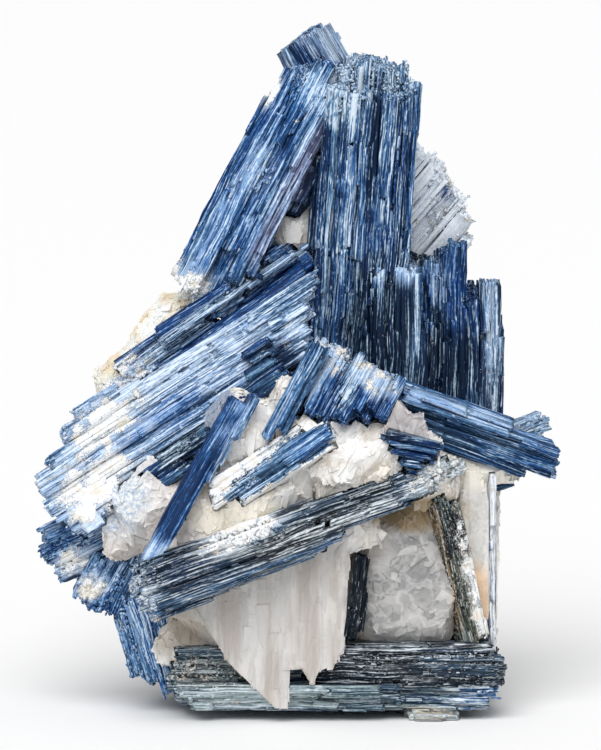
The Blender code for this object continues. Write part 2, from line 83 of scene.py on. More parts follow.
def take_triangles(model):
    """Leaves edit mode, deletes the model and returns it as (points, faces)."""
    bpy.ops.mesh.select_all(action="SELECT")
    bpy.ops.mesh.quads_convert_to_tris()
    bpy.ops.object.mode_set(mode="OBJECT")
    points = np.array([vert.co for vert in model.data.vertices])
    faces = np.array([face.vertices for face in model.data.polygons])
    bpy.data.objects.remove(model)
    return points, faces


def model_lath(units, rng):
    """Returns one lath as (points, faces), 1 wide, 1 thick and units long, with broken ends. Its first
    and last unit keep their shape when it is drawn out to its place."""
    deselect()
    bpy.ops.mesh.primitive_cube_add(size=1, location=(0, 0, units / 2), scale=(1, 1, units))
    lath = bpy.context.object
    bpy.ops.object.transform_apply(location=True, rotation=True, scale=True)
    bpy.ops.object.mode_set(mode="EDIT")
    corner = Vector((rng.choice((-1, 1)), rng.choice((-1, 1)) * rng.uniform(0.7, 1.6), 0))
    cut_off((0.5 * corner.x * rng.uniform(0.9, 0.97), 0.5 * math.copysign(1, corner.y), 0), corner)
    for end, out in ((units, 1), (0, -1)):
        for _ in range(2):
            slope = Vector((rng.uniform(-1.1, 1.1), rng.uniform(-1.0, 1.0), out))
            cut_off((0, 0, end - out * rng.uniform(0.2, 0.6)), slope)
    for ring in range(1, units):
        bpy.ops.mesh.select_all(action="SELECT")
        bpy.ops.mesh.bisect(plane_co=(0, 0, ring), plane_no=(0, 0, 1))
    points, faces = take_triangles(lath)
    drift_x, drift_y, swell_x, swell_y = 0, 0, 1, 1
    for ring in range(1, units):
        on_ring = abs(points[:, 2] - ring) < 0.01
        swell_x = min(1.03, max(0.8, swell_x + rng.uniform(-0.08, 0.08)))
        swell_y = min(1.05, max(0.75, swell_y + rng.uniform(-0.12, 0.12)))
        drift_x = min(0.07, max(-0.07, drift_x + rng.uniform(-0.05, 0.05)))
        drift_y = min(0.1, max(-0.1, drift_y + rng.uniform(-0.07, 0.07)))
        points[on_ring, :2] = points[on_ring, :2] * (swell_x, swell_y) + (drift_x, drift_y)
    return points, faces


lath_rng = random.Random(7)
LATHS = [[model_lath(units, lath_rng) for _ in range(5)] for units, _ in LATH_SIZES]


def random_way(rng):
    return Vector([rng.gauss(0, 1) for _ in range(3)])


def model_chip(rng):
    """Returns one rough crumb about 1 across as (points, faces)."""
    deselect()
    bpy.ops.mesh.primitive_cube_add(size=1)
    chip = bpy.context.object
    bpy.ops.object.mode_set(mode="EDIT")
    for _ in range(7):
        way = random_way(rng).normalized()
        cut_off(way * rng.uniform(0.33, 0.48), way)
    return take_triangles(chip)


CHIPS = [model_chip(lath_rng) for _ in range(8)]


def random_turn(rng):
    """A 3 x 3 rotation that points anywhere."""
    turn = random_way(rng).to_track_quat("Z", "Y").to_matrix()
    return np.array(turn @ Matrix.Rotation(rng.uniform(0, math.tau), 3, "Z"))


def grain_frame(node, along=None):
    """The frame of a bundle: Z along its blades and Y into it, through its broad face, from its long
    edges and largest faces."""
    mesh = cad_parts[node].data
    points = np.array([vert.co for vert in mesh.vertices])
    if along is None:
        ends = np.array([edge.vertices for edge in mesh.edges])
        runs = points[ends[:, 0]] - points[ends[:, 1]]
        lengths = np.linalg.norm(runs, axis=1, keepdims=True)
        weighed = runs * lengths
        along = np.linalg.eigh(weighed.T @ weighed)[1][:, -1]
    along = Vector(along).normalized()
    if along.z < -0.2 or (abs(along.z) <= 0.2 and along.x < 0):
        along = -along
    normals = np.array([face.normal * face.area for face in mesh.polygons])
    normals -= np.outer(normals @ np.array(along), np.array(along))
    broad = Vector(np.linalg.eigh(normals.T @ normals)[1][:, -1])
    broad = (broad - along * broad.dot(along)).normalized()
    if broad.y < 0:
        broad = -broad
    across = broad.cross(along)
    return Matrix((across, broad, along)).transposed()


PAST_FACE = 0.01  # how far past a face the next search for one starts


def spans(solid, u, v, low, high):
    """Where a line along the grain at (u, v) runs inside the solid, as (start, end) pairs."""
    found, start, z = [], None, low - 1
    while True:
        hit, normal, _, _ = solid.ray_cast(Vector((u, v, z)), Vector((0, 0, 1)), high - z + 2)
        if hit is None:
            return found
        if normal.z < 0:
            start = hit.z if start is None else start
        elif start is not None:
            found.append((start, hit.z))
            start = None
        z = hit.z + PAST_FACE


def steps(low, high, least, most, rng):
    """Cuts low to high into uneven widths."""
    marks = [low]
    while marks[-1] < high - least:
        marks.append(min(high, marks[-1] + least + (most - least) * rng.random() ** 1.6))
    marks[max(1, len(marks) - 1):] = [high]
    return list(zip(marks[:-1], marks[1:]))


def ripple(points, wave, seed):
    """A smooth number from -1 to 1 at each point, that changes over about wave."""
    rng = random.Random(seed)
    total = 0
    for _ in range(4):
        turn = np.array([rng.gauss(0, 1) for _ in range(3)]) / np.array(wave)
        total = total + np.sin(points @ turn * 2.2 + rng.uniform(0, 6.3))
    return total / 2.6


def new_pack():
    return {"points": [], "faces": [], "grain": [], "shade": [], "count": 0}


def add_shape(out, points, faces, grain, shade):
    """Adds one shape to a pack. grain is where its lines are looked up, and shade is how light it is."""
    out["faces"].append(faces + out["count"])
    out["points"].append(points)
    out["grain"].append(grain)
    out["shade"].append(np.full(len(points), shade))
    out["count"] += len(points)


def lay_lath(out, centre, size, z, turn, shade, rng, own, broken=1.0):
    """Adds a lath of this width and thickness to out, from z[0] to z[1] in the bundle's frame. own is the
    chance that its lines are its own, and broken how deep its ends break, next to a usual lath."""
    length = z[1] - z[0]
    kind = next(place for place, (_, limit) in enumerate(LATH_SIZES) if length <= limit)
    points, faces = rng.choice(LATHS[kind])
    units = LATH_SIZES[kind][0]
    cap = min(1.6, (size[0] + size[1]) * 0.4, length * 0.3) * broken
    place = points.copy()
    place[:, 2] = np.interp(points[:, 2], (0, 1, units - 1, units), (z[0], z[0] + cap, z[1] - cap, z[1]))
    place[:, 0] *= size[0] * rng.choice((-1, 1))
    place[:, 1] *= size[1]
    spin, lean_x, lean_y = turn
    reach = place[:, 2] - (z[0] + z[1]) / 2
    x = place[:, 0] * math.cos(spin) - place[:, 1] * math.sin(spin) + reach * lean_x
    y = place[:, 0] * math.sin(spin) + place[:, 1] * math.cos(spin) + reach * lean_y
    place[:, 0], place[:, 1] = x + centre[0], y + centre[1]
    moved = np.array([rng.uniform(0, 90) for _ in range(3)]) * (rng.random() < own)
    add_shape(out, place, faces, place + moved, shade)


# Colours of kyanite, as linear light.
INK = (0.004, 0.011, 0.024)
NAVY = (0.004, 0.020, 0.060)
ROYAL = (0.007, 0.054, 0.215)
BLUE = (0.024, 0.108, 0.310)
STEEL = (0.055, 0.142, 0.282)
SLATE = (0.034, 0.080, 0.150)
SKY = (0.190, 0.310, 0.540)
PALE = (0.450, 0.580, 0.770)
MIST = (0.660, 0.720, 0.800)
PURPLE_GREY = (0.150, 0.160, 0.260)
SEA = (0.090, 0.150, 0.190)
LICHEN = (0.260, 0.330, 0.340)
MOSS = (0.060, 0.072, 0.058)
CHARCOAL = (0.022, 0.026, 0.032)
RUST = (0.230, 0.150, 0.080)

# How blades are laid, in millimetres.
RAGGED = 0.8  # how unevenly they usually break at their ends
SKIN = 1.7  # laths deeper in the solid than this aren't seen and are left out
SHORTEST_LATH = 1.2
SHORTEST_REST = 6  # a rest of a blade below this stays with the lath before it
NUDGE = (0.003, 0.002)  # keeps a search along the grain off the edges of the solid


def pack_laths(
    node, matrix, widths, thicknesses, rng, ragged=RAGGED, run=(18, 70), grooves=0.08, rib_widths=(2.5, 8),
    rib_step=0.22, rib_gap=0.25, cuts=(), broken=1.0, own=0.4,
):
    """Fills a bundle's solid with laths, in its own frame and in millimetres. They are grouped in ribs, of
    chance widths or, where cuts are given, cut at those distances from the left side."""
    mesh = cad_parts[node].data
    inverse = matrix.inverted()
    corners = [inverse @ (vert.co / MM) for vert in mesh.vertices]
    solid = BVHTree.FromPolygons(corners, [tuple(face.vertices) for face in mesh.polygons])
    low = [min(corner[i] for corner in corners) for i in range(3)]
    high = [max(corner[i] for corner in corners) for i in range(3)]
    out = new_pack()
    marks = [low[0], *(low[0] + cut for cut in cuts), high[0]]
    spread = list(zip(marks[:-1], marks[1:])) if cuts else steps(low[0], high[0], *rib_widths, rng)
    ribs = [(u0, u1, rng.gauss(0, rib_step)) for u0, u1 in spread]
    for v0, v1 in steps(low[1], high[1], *thicknesses, rng):
        cells = [
            (u0, u1, rib[2]) for rib in ribs
            for u0, u1 in steps(rib[0] + rib_gap / 2, rib[1] - rib_gap / 2, *widths, rng)
        ]
        for u0, u1, sway in cells:
            u, v = (u0 + u1) / 2, (v0 + v1) / 2
            base = rng.gauss(0, 0.15)
            sunk = rng.random() < grooves
            for start, end in spans(solid, u + NUDGE[0], v + NUDGE[1], low[2], high[2]):
                z = start + rng.uniform(-0.2, 1) * ragged * 0.5
                top = end - max(0, rng.gauss(0.25, 0.5)) * ragged
                while z < top - SHORTEST_LATH:
                    stop = min(top, z + rng.uniform(*run))
                    if top - stop < SHORTEST_REST:
                        stop = top
                    spots = np.linspace(z + 1, stop - 1, 5)
                    depth = min(solid.find_nearest(Vector((u, v, spot)))[3] for spot in spots)
                    if depth < SKIN:
                        push = sway + rng.gauss(0, 0.06)
                        width, thick = (u1 - u0) * rng.uniform(1.0, 1.12), (v1 - v0) * rng.uniform(1.1, 1.4)
                        if sunk:
                            width, thick = width * 0.7, thick * 0.55
                        lay_lath(
                            out, (u + rng.uniform(-0.06, 0.06), v + push), (width, thick),
                            (z, stop), (rng.gauss(0, 0.05), rng.gauss(0, 0.0015), rng.gauss(0, 0.002)),
                            base + rng.gauss(0, 0.1), rng, own, broken,
                        )
                    z = stop - rng.uniform(0.2, 2.5)
                    if stop == top:
                        break
    return out, solid


def lay_chip(out, spot, facing, size, stretch, level, rng, rise=0):
    """Adds one chip of about this size, more than half sunk in the surface at spot unless it has a rise."""
    points, faces = rng.choice(CHIPS)
    shape = points * (size * rng.uniform(0.7, 1.2), size * rng.uniform(0.7, 1.2), size)
    shape = shape @ random_turn(rng).T * (1, 1, stretch)
    place = shape + np.array(spot + facing * size * (rise + rng.uniform(-0.35, 0.1)))
    add_shape(out, place, faces, place, rng.gauss(level, 0.2))


END_FACE = 0.4  # a face turned this much along the grain is an end of the bundle
SPLINT_RISE = 0.04  # how far a splint stands up from its face
SHORTEST_SPLINT = 1.5
TIP_GAP = 0.12  # how far a splint's tip may lie from the surface


def random_spot(a, b, c, rng):
    """A place on a triangle."""
    s, t = sorted((rng.random(), rng.random()))
    return a * s + b * (t - s) + c * (1 - t)


def by_chance(wanted, rng):
    """A whole number that comes to wanted on average."""
    return int(wanted) + (rng.random() < wanted % 1)


def lay_splints(node, matrix, solid, out, rng, density, crumbs, inset):
    """Adds thin splints that lie on the bundle's long faces, at so many for each square millimetre, and
    crumbs on its ends, set in by inset."""
    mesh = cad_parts[node].data
    inverse = matrix.inverted()
    mesh.calc_loop_triangles()
    for triangle in mesh.loop_triangles:
        a, b, c = (inverse @ (mesh.vertices[i].co / MM) for i in triangle.vertices)
        facing = (b - a).cross(c - a)
        area = facing.length / 2
        facing.normalize()
        if abs(facing.z) > END_FACE:
            for _ in range(by_chance(area * crumbs, rng)):
                spot = random_spot(a, b, c, rng) - facing * inset
                lay_chip(out, spot, facing, rng.uniform(0.25, 0.7), 1.0, 0.1, rng)
            continue
        spin = math.atan2(facing.y, facing.x) + math.pi / 2
        for _ in range(by_chance(area * density, rng)):
            spot = random_spot(a, b, c, rng)
            length = 2 + 24 * rng.random() ** 2.2
            ends = []
            for way in (-1, 1):
                reach = length / 2 * rng.uniform(0.7, 1.3)
                while reach > 0.5:
                    tip = spot + Vector((0, 0, way * reach))
                    if solid.find_nearest(tip)[3] < TIP_GAP:
                        break
                    reach *= 0.7
                ends.append(spot.z + way * reach)
            if ends[1] - ends[0] < SHORTEST_SPLINT:
                continue
            width = 0.25 + 1.0 * rng.random() ** 1.5
            thick = 0.3 + 0.3 * rng.random()
            sink = thick / 2 - SPLINT_RISE * rng.uniform(0.3, 1.6)
            lay_lath(
                out, (spot.x - facing.x * sink, spot.y - facing.y * sink), (width, thick), ends,
                (spin + rng.gauss(0, 0.06), rng.gauss(0, 0.003), rng.gauss(0, 0.003)),
                rng.gauss(0.03, 0.14), rng, 0.1,
            )


# A heap of chips, and a patch with a tint and wear of its own and, where one is given, a crust. Both lie
# about a place X, Z in millimetres. A heap reaches along X and Z, a patch along its blades and across.
# The wear is frost and wear, and also how far the blade is lifted to pale lines and painted highlights.
Rubble = namedtuple("Rubble", "at reach count size stretch level rise", defaults=(1.0, 0.25, 0))
Patch = namedtuple("Patch", "at reach tint wear crust", defaults=(None,))


IN_FRONT = 90  # a place this far forward is in front of the whole cluster


def lay_rubble(matrix, solid, out, rng, heap):
    """Strews a heap's chips over the front of the bundle."""
    inverse = matrix.inverted()
    way = inverse @ Vector((0, 1, 0))
    for _ in range(heap.count):
        turn, far = rng.uniform(0, math.tau), math.sqrt(rng.random())
        x = heap.at[0] + heap.reach[0] * far * math.cos(turn)
        z = heap.at[1] + heap.reach[1] * far * math.sin(turn) + LIFT
        hit, normal, _, _ = solid.ray_cast(inverse @ Vector((x, -IN_FRONT, z)), way)
        if hit is None:
            continue
        size = heap.size * rng.uniform(0.5, 1.3)
        lay_chip(out, hit, normal, size, heap.stretch, heap.level, rng, heap.rise)


def sample(palette, share):
    """Colours along a list that runs from dark to light, at each share from 0 to 1."""
    stops = np.linspace(0, 1, len(palette))
    return np.stack([np.interp(share, stops, [colour[i] for colour in palette]) for i in range(3)], axis=1)


def finish_pack(name, out, matrix, material, palette, wear, crust, patches, seed):
    """Makes one mesh object of all that was laid, placed, kept above the table and tinted. A patch is full up
    to 0.75 of its reach and ends at 1.25 of it."""
    points = np.concatenate(out["points"])
    faces = np.concatenate(out["faces"])
    placed = points @ np.array(matrix.transposed())
    placed[:, 2] = placed[:, 2].clip(min=0)
    mesh = bpy.data.meshes.new(name)
    mesh.vertices.add(len(placed))
    mesh.vertices.foreach_set("co", (placed * MM).ravel())
    mesh.loops.add(faces.size)
    mesh.loops.foreach_set("vertex_index", faces.ravel())
    mesh.polygons.add(len(faces))
    mesh.polygons.foreach_set("loop_start", np.arange(0, faces.size, 3))
    level = 0.5 + np.concatenate(out["shade"]) + 0.3 * ripple(points, (6, 6, 24), seed)
    tint = sample(palette, level)
    wear_and_highlight_levels = wear + 0.16 * ripple(points, (4, 4, 16), seed + 1)
    crusts = crust + 0.12 * ripple(points, (6, 6, 9), seed + 2)
    run = np.array((matrix[0][2], matrix[2][2]))
    run = run / np.linalg.norm(run)
    for patch in patches:
        offset = placed[:, (0, 2)] - np.array((patch.at[0], patch.at[1] + LIFT))
        along, across = offset @ run, offset @ np.array((-run[1], run[0]))
        away = np.hypot(along / patch.reach[0], across / patch.reach[1])
        away = away + 0.22 * ripple(placed, (2, 2, 3), seed + 3)
        share = np.clip((1.25 - away) / 0.5, 0, 1)
        share = share * share * (3 - 2 * share)
        spread = 1 + 0.9 * (level[:, None] - 0.5)
        tint += (np.array(patch.tint) * spread - tint) * share[:, None] * 0.9
        wear_and_highlight_levels += (patch.wear - wear_and_highlight_levels) * share
        if patch.crust is not None:
            crusts += (patch.crust - crusts) * share
    for attribute, kind, field, values in (
        ("grain", "FLOAT_VECTOR", "vector", np.concatenate(out["grain"])),
        ("tint", "FLOAT_COLOR", "color", np.hstack((tint, np.ones((len(tint), 1))))),
        ("wear", "FLOAT", "value", wear_and_highlight_levels),
        ("crust", "FLOAT", "value", crusts),
    ):
        mesh.attributes.new(attribute, kind, "POINT").data.foreach_set(field, values.ravel())
    mesh.update(calc_edges=True)
    mesh.materials.append(material)
    piece = bpy.data.objects.new(name, mesh)
    bpy.context.scene.collection.objects.link(piece)
    return piece


class Wire:
    """An output socket that can be used in sums."""

    def __init__(self, socket):
        self.socket = socket

    def combine(self, operation, first, second):
        tree = self.socket.id_data
        node = tree.nodes.new("ShaderNodeMath")
        node.operation = operation
        for place, value in enumerate((first, second)):
            if isinstance(value, Wire):
                tree.links.new(value.socket, node.inputs[place])
            else:
                node.inputs[place].default_value = value
        return Wire(node.outputs[0])

    def __add__(self, other):
        return self.combine("ADD", self, other)

    def __sub__(self, other):
        return self.combine("SUBTRACT", self, other)

    def __rsub__(self, other):
        return self.combine("SUBTRACT", other, self)

    def __mul__(self, other):
        return self.combine("MULTIPLY", self, other)

    __radd__, __rmul__ = __add__, __mul__


class Finish:
    """A material under construction, with its Principled shader."""

    def __init__(self, name, **values):
        self.material = bpy.data.materials.new(name)
        self.material.use_nodes = True
        self.tree = self.material.node_tree
        self.shader = self.tree.nodes["Principled BSDF"]
        for socket, value in values.items():
            self.set(self.shader, socket.replace("_", " "), value)

    def set(self, node, socket, value):
        target = node.inputs[socket]
        if isinstance(value, Wire):
            self.tree.links.new(value.socket, target)
        elif target.type == "RGBA":
            target.default_value = (*value, 1)
        else:
            target.default_value = value

    def node(self, kind, settings, sockets, output=0):
        """Adds a node of this kind, sets it, fills its sockets and returns one output."""
        node = self.tree.nodes.new("ShaderNode" + kind)
        for name, value in settings.items():
            setattr(node, name, value)
        for socket, value in sockets.items():
            self.set(node, socket, value)
        return Wire(node.outputs[output])

    def attribute(self, name, output):
        return self.node("Attribute", {"attribute_name": name}, {}, output)

    def scaled(self, vector, scale):
        return self.node("VectorMath", {"operation": "MULTIPLY"}, {0: vector, 1: scale})

    def noise(self, vector, scale, detail, rough=0.5):
        """Noise of one cycle for each 1 / scale along each axis of the vector."""
        sockets = {"Vector": self.scaled(vector, scale), "Scale": 1.0, "Detail": detail, "Roughness": rough}
        return self.node("TexNoise", {}, sockets)

    def place(self):
        """The place on the object, in millimetres."""
        return self.scaled(self.node("TexCoord", {}, {}, output=3), (1 / MM,) * 3)

    def drift(self, vector, scale):
        """Noise of three numbers, of one cycle for each 1 / scale."""
        sockets = {"Vector": self.scaled(vector, (scale,) * 3), "Scale": 1.0}
        return self.node("TexNoise", {}, sockets, output=1)

    def step(self, value, low, high):
        """0 at low and 1 at high, with a soft rise between. high may be the lower number."""
        sockets = {"Value": value, "From Min": low, "From Max": high}
        return self.node("MapRange", {"interpolation_type": "SMOOTHSTEP"}, sockets)

    def blend(self, share, first, second):
        """The colour first, or second where share is 1."""
        return self.node("Mix", {"data_type": "RGBA"}, {"Factor": share, 6: first, 7: second}, output=2)

    def coat(self, colour, roughness, relief, distance, strength):
        """Gives the surface what varies over it, and returns the material."""
        sockets = {"Height": relief, "Distance": distance, "Strength": strength}
        self.set(self.shader, "Base Color", colour)
        self.set(self.shader, "Roughness", roughness)
        self.set(self.shader, "Normal", self.node("Bump", {}, sockets))
        return self.material


def make_kyanite(name, pale, dark):
    """Striated kyanite with lines of the colours pale and dark, from the tint, wear and crust that its
    mesh carries. Where its level runs high, the pale lines are partly and the white glints wholly painted
    highlights."""
    finish = Finish(name, IOR=1.5, Specular_IOR_Level=0.15)
    grain = finish.attribute("grain", 1)
    tint = finish.attribute("tint", 0)
    wear = finish.attribute("wear", 2)
    crust = finish.attribute("crust", 2)
    place = finish.place()
    sway = finish.drift(place, 0.05)
    grain = finish.node("VectorMath", {"operation": "MULTIPLY_ADD"}, {0: sway, 1: (2.5, 2.5, 0), 2: grain})
    bands = finish.noise(grain, (0.45, 0.45, 0.02), 1.0)
    lines = finish.noise(grain, (3.0, 3.0, 0.045), 2.0)
    hairs = finish.noise(grain, (4.2, 4.2, 0.14), 2.0)
    grit = finish.noise(grain, (2.8, 2.8, 1.1), 2.0)
    flecks = finish.noise(grain, (2.3, 2.3, 0.6), 3.0, 0.6)
    breaks = finish.noise(grain, (0.5, 0.5, 1.7), 2.0)
    speck = finish.noise(place, (2.6,) * 3, 3.0, 0.6)
    clump = finish.noise(place, (0.35,) * 3, 2.0)
    worn = finish.step(wear, 0.9, 1.15) * 0.8
    streaks = lines + (flecks - lines) * worn
    # Wear lifts the level: frost and wear, and where it runs high also painted highlights.
    level = bands * 1.5 + streaks * 3.8 + hairs * 1.5 + grit * 1.2 + wear - 3.88
    deep = finish.blend(0.85, tint, dark)
    # Pale lines, partly real and partly painted highlight, and above them a painted highlight as white
    # glints.
    pale_lines_and_highlight = finish.blend(0.55, tint, pale)
    colour = finish.blend(finish.step(level, 0.52, 0.12) * 0.95, tint, deep)
    colour = finish.blend(finish.step(level, 0.60, 0.95), colour, pale_lines_and_highlight)
    painted_glint = finish.blend(0.6, pale, (0.88, 0.95, 1.0))
    colour = finish.blend(finish.step(level, 1.0, 1.4) * 0.85, colour, painted_glint)
    # White flecks: frost where worn, and partly painted glints on broken steps.
    frost_and_glint_flecks = finish.step(flecks * 0.7 + breaks * 0.2 + clump * 0.2 + wear * 0.10, 0.75, 0.80)
    dust = finish.step(grit * 0.7 + hairs * 0.3 + wear * 0.16, 0.70, 0.77)
    colour = finish.blend(frost_and_glint_flecks * 0.85, colour, (0.80, 0.87, 0.95))
    colour = finish.blend(dust * 0.7, colour, (0.60, 0.70, 0.84))
    chalk = finish.step(speck * 0.45 + clump * 0.55 + crust * 0.42, 0.68, 0.74)
    cream = finish.blend(finish.step(clump + 0.3 * speck, 0.68, 0.84), (0.86, 0.88, 0.90), (0.80, 0.76, 0.69))
    colour = finish.blend(chalk, colour, cream)
    relief = lines * 0.8 + hairs * 0.5 + breaks * 0.15 + chalk * 0.5 + frost_and_glint_flecks * 0.2
    relief = relief + speck * (0.2 + 0.5 * chalk)
    return finish.coat(colour, 0.34 + 0.2 * hairs + 0.3 * chalk + 0.15 * dust, relief, 0.00025, 0.85)


def dress_bundle(
    node, slot, palette, seed, wear=0.35, crust=0.0, patches=(), widths=(0.8, 5.0), thicknesses=(0.8, 1.5),
    along=None, splints=0.07, crumbs=0.25, rubble=(), look=None, **fill,
):
    """Replaces one bundle's solid by its pack of laths, with the look of its slot or another one."""
    rng = random.Random(seed)
    matrix = grain_frame(node, along)
    out, solid = pack_laths(node, matrix, widths, thicknesses, rng, **fill)
    lay_splints(node, matrix, solid, out, rng, splints, crumbs, 0.7 * fill.get("ragged", RAGGED))
    for heap in rubble:
        lay_rubble(matrix, solid, out, rng, heap)
    material = KYANITE[look or slot]
    piece = finish_pack(node + "_laths", out, matrix, material, palette, wear, crust, patches, seed)
    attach(piece, "root")
    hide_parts(node)


# Looks of kyanite, each with the pale and the dark colour of its lines. The pale one also tints the painted
# highlights.
KYANITE = {
    look: make_kyanite(look, pale, dark)
    for look, pale, dark in (
        ("dark_kyanite", (0.30, 0.46, 0.62), (0.0003, 0.007, 0.032)),
        ("blue_kyanite", (0.26, 0.45, 0.70), (0.0003, 0.007, 0.036)),
        ("pale_kyanite", (0.46, 0.62, 0.84), (0.0003, 0.009, 0.036)),
        ("white_kyanite", (0.90, 0.94, 0.98), (0.090, 0.130, 0.230)),
        ("grey_kyanite", (0.38, 0.43, 0.47), (0.002, 0.006, 0.011)),
        ("green_kyanite", (0.42, 0.50, 0.54), (0.002, 0.010, 0.022)),
        ("green_seam", (0.36, 0.37, 0.33), (0.003, 0.005, 0.005)),
    )
}

DARK = (NAVY, NAVY, ROYAL, STEEL, STEEL)
MID = (NAVY, ROYAL, BLUE, STEEL, SKY)
LIGHT = (BLUE, STEEL, STEEL, SKY, PALE)

dress_bundle(
    "tall_centre_blades", "dark_kyanite", DARK, 1, wear=0.45, rib_step=0.5, rib_gap=0.45, rib_widths=(2.5, 7),
    patches=(
        Patch((11, 108), (30, 3.5), BLUE, 0.6),
        Patch((9, 135), (9, 6), STEEL, 1.1),
        Patch((21, 106), (24, 2.6), ROYAL, 0.45),
        Patch((24.5, 112), (28, 1.6), BLUE, 0.5),
        Patch((16, 122), (14, 1.6), NAVY, 0.2),
        Patch((15, 84), (14, 6), INK, 0.3),
        Patch((21, 139), (6, 8), STEEL, 0.85),
    ),
    rubble=(
        Rubble((9, 136), (6, 6), 360, 0.6), Rubble((21, 137), (6, 5), 240, 0.6),
        Rubble((11, 128), (4, 8), 40, 0.5, 1.8),
    ),
)

# Kyanite blades that lean on the column from the left, in a fan: saturated blue outside, purple grey
# inside, with a paler broken step half way.
dress_bundle(
    "left_fan_blades", "blue_kyanite", MID, 2, wear=0.42,
    patches=(
        Patch((-3, 128), (12, 3), BLUE, 0.35),
        Patch((-10, 116), (7, 4), SKY, 0.8, crust=0.1),
        Patch((-17, 100), (14, 4), BLUE, 0.65),
        Patch((-24, 90), (9, 4), BLUE, 0.65),
        Patch((-20, 104), (20, 1.2), SKY, 0.85),
        Patch((-2, 113), (18, 2.4), PURPLE_GREY, 0.55),
        Patch((-2, 106), (16, 1.7), NAVY, 0.1),
        Patch((-6, 135.5), (4, 1.2), MIST, 0.9, crust=0.9),
        Patch((-25, 92), (4, 6), PALE, 0.95, crust=0.72),
        Patch((4, 135), (5, 4), STEEL, 1.0),
    ),
    rubble=(
        Rubble((4, 135), (6, 6), 260, 0.6), Rubble((-9, 115), (5, 3), 40, 0.6, 1.6),
        Rubble((-25, 92), (4, 5), 120, 0.7, level=0.4),
        Rubble((-5.5, 135.5), (1.5, 3), 40, 0.9, level=0.6),
    ),
)

# The kyanite block whose square end stands highest, behind the fan: four blades side by side that slant
# up to the left, broken straight across.
dress_bundle(
    "top_block", "blue_kyanite", (STEEL, PURPLE_GREY, STEEL, SKY), 3, wear=0.7, ragged=0.02, widths=(3, 5),
    cuts=(3.8, 6.7, 9.1), rib_gap=0.02, rib_step=0.1, splints=0.02, crumbs=0, broken=0.2, own=0.25,
    patches=(
        Patch((1.5, 141), (3, 2.5), ROYAL, 0.3),
        Patch((7, 145), (5, 2.5), SKY, 0.9),
    ),
)

# The short upright kyanite columns at the right, some of them in front of the tall one, nearly black
# below and pale at their broken tops.
dress_bundle(
    "right_row_blades", "dark_kyanite", DARK, 4, ragged=0.5,
    patches=(
        Patch((20, 80), (15, 6), INK, 0.15),
        Patch((16.6, 95), (2.5, 1.6), SKY, 1.0),
        Patch((22.4, 95.5), (2.5, 3), SKY, 0.95),
        Patch((27.7, 80), (18, 1.2), ROYAL, 0.1),
        Patch((30.1, 92.3), (5, 1.6), SKY, 0.6),
        Patch((34.5, 86), (11, 3), ROYAL, 0.4),
        Patch((32, 74), (10, 8), INK, 0.15),
        Patch((42.3, 80), (16, 1.6), SKY, 1.0),
        Patch((26, 99), (2.5, 3), INK, 0.2),
    ),
    rubble=(Rubble((25.3, 98.5), (2.5, 3), 60, 1.2, level=-0.3), Rubble((24, 70), (8, 3), 60, 0.7, 1.6)),
)

# Pale ragged kyanite blades behind the column, frosted nearly white, that slope up to the right. The upper
# ones end in crumbs. Their white is partly painted light, brighter than the frost to make up for the
# column's shadow over them.
dress_bundle(
    "back_right_blades", "pale_kyanite", (MIST, (0.66, 0.74, 0.88), (0.76, 0.81, 0.88)), 5,
    # White look and high wear: real frost, and painted light against the column's shadow.
    look="white_kyanite", wear=1.1, crust=0.25, own=0.2,
    patches=(Patch((31.7, 111.6), (1.5, 1.5), BLUE, 0.3, crust=0),),
    rubble=(Rubble((34, 110), (6, 9), 160, 0.8, level=0.4),),
)

# The kyanite ridge blade that runs down to the left under the fan: striated grey above, deep blue below,
# with a white crust at its low end.
dress_bundle(
    "upper_left_blade", "blue_kyanite", (NAVY, ROYAL, ROYAL, SLATE), 6, wear=0.4, ragged=0.5,
    patches=(
        Patch((-22, 84), (26, 2.4), SLATE, 0.85),
        Patch((-12, 86.5), (24, 2.0), ROYAL, 0.1),
        Patch((-39, 70), (8, 5), PALE, 0.9, crust=0.6),
    ),
    rubble=(Rubble((-38, 71), (8, 4), 90, 0.9, level=0.5),),
)

# The broad pale kyanite blade in front of the ridge, silvery and closely lined, crusted white and
# crumbled at its left end.
dress_bundle(
    "pale_broad_blade", "pale_kyanite", LIGHT, 7, wear=0.8, crust=0.15, ragged=0.35, splints=0.1,
    own=0.2, rib_gap=0.12, rib_step=0.14, grooves=0.05,
    patches=(
        Patch((0, 90), (10, 4), STEEL, 0.75),
        Patch((-5.5, 76), (4.5, 4.5), NAVY, 0.1),
        Patch((-28, 74), (16, 3), PALE, 0.85),
        Patch((-42, 56), (11, 1.8), BLUE, 0.4),
        Patch((-43, 62), (9, 4), PALE, 1.0, crust=0.7),
        Patch((-45, 49), (9, 6), PALE, 1.0, crust=0.72),
        Patch((-28, 65), (7, 3), BLUE, 0.6),
    ),
    rubble=(
        Rubble((-47, 60), (8, 6), 120, 0.5, level=0.4), Rubble((-45, 47), (8, 7), 200, 0.6, level=0.4),
        Rubble((-24, 64), (6, 3), 40, 0.6, 1.6),
    ),
)

# The dark kyanite blade that shows under the broad one's edge, with a crumbly broken end that stands
# out over the quartz.
dress_bundle(
    "dark_under_blade", "dark_kyanite", DARK, 8, wear=0.25, ragged=1.0,
    patches=(Patch((-27, 58), (6, 4), INK, 0.7),),
    rubble=(Rubble((-26, 60), (5, 4), 80, 1.0, 1.6),),
)

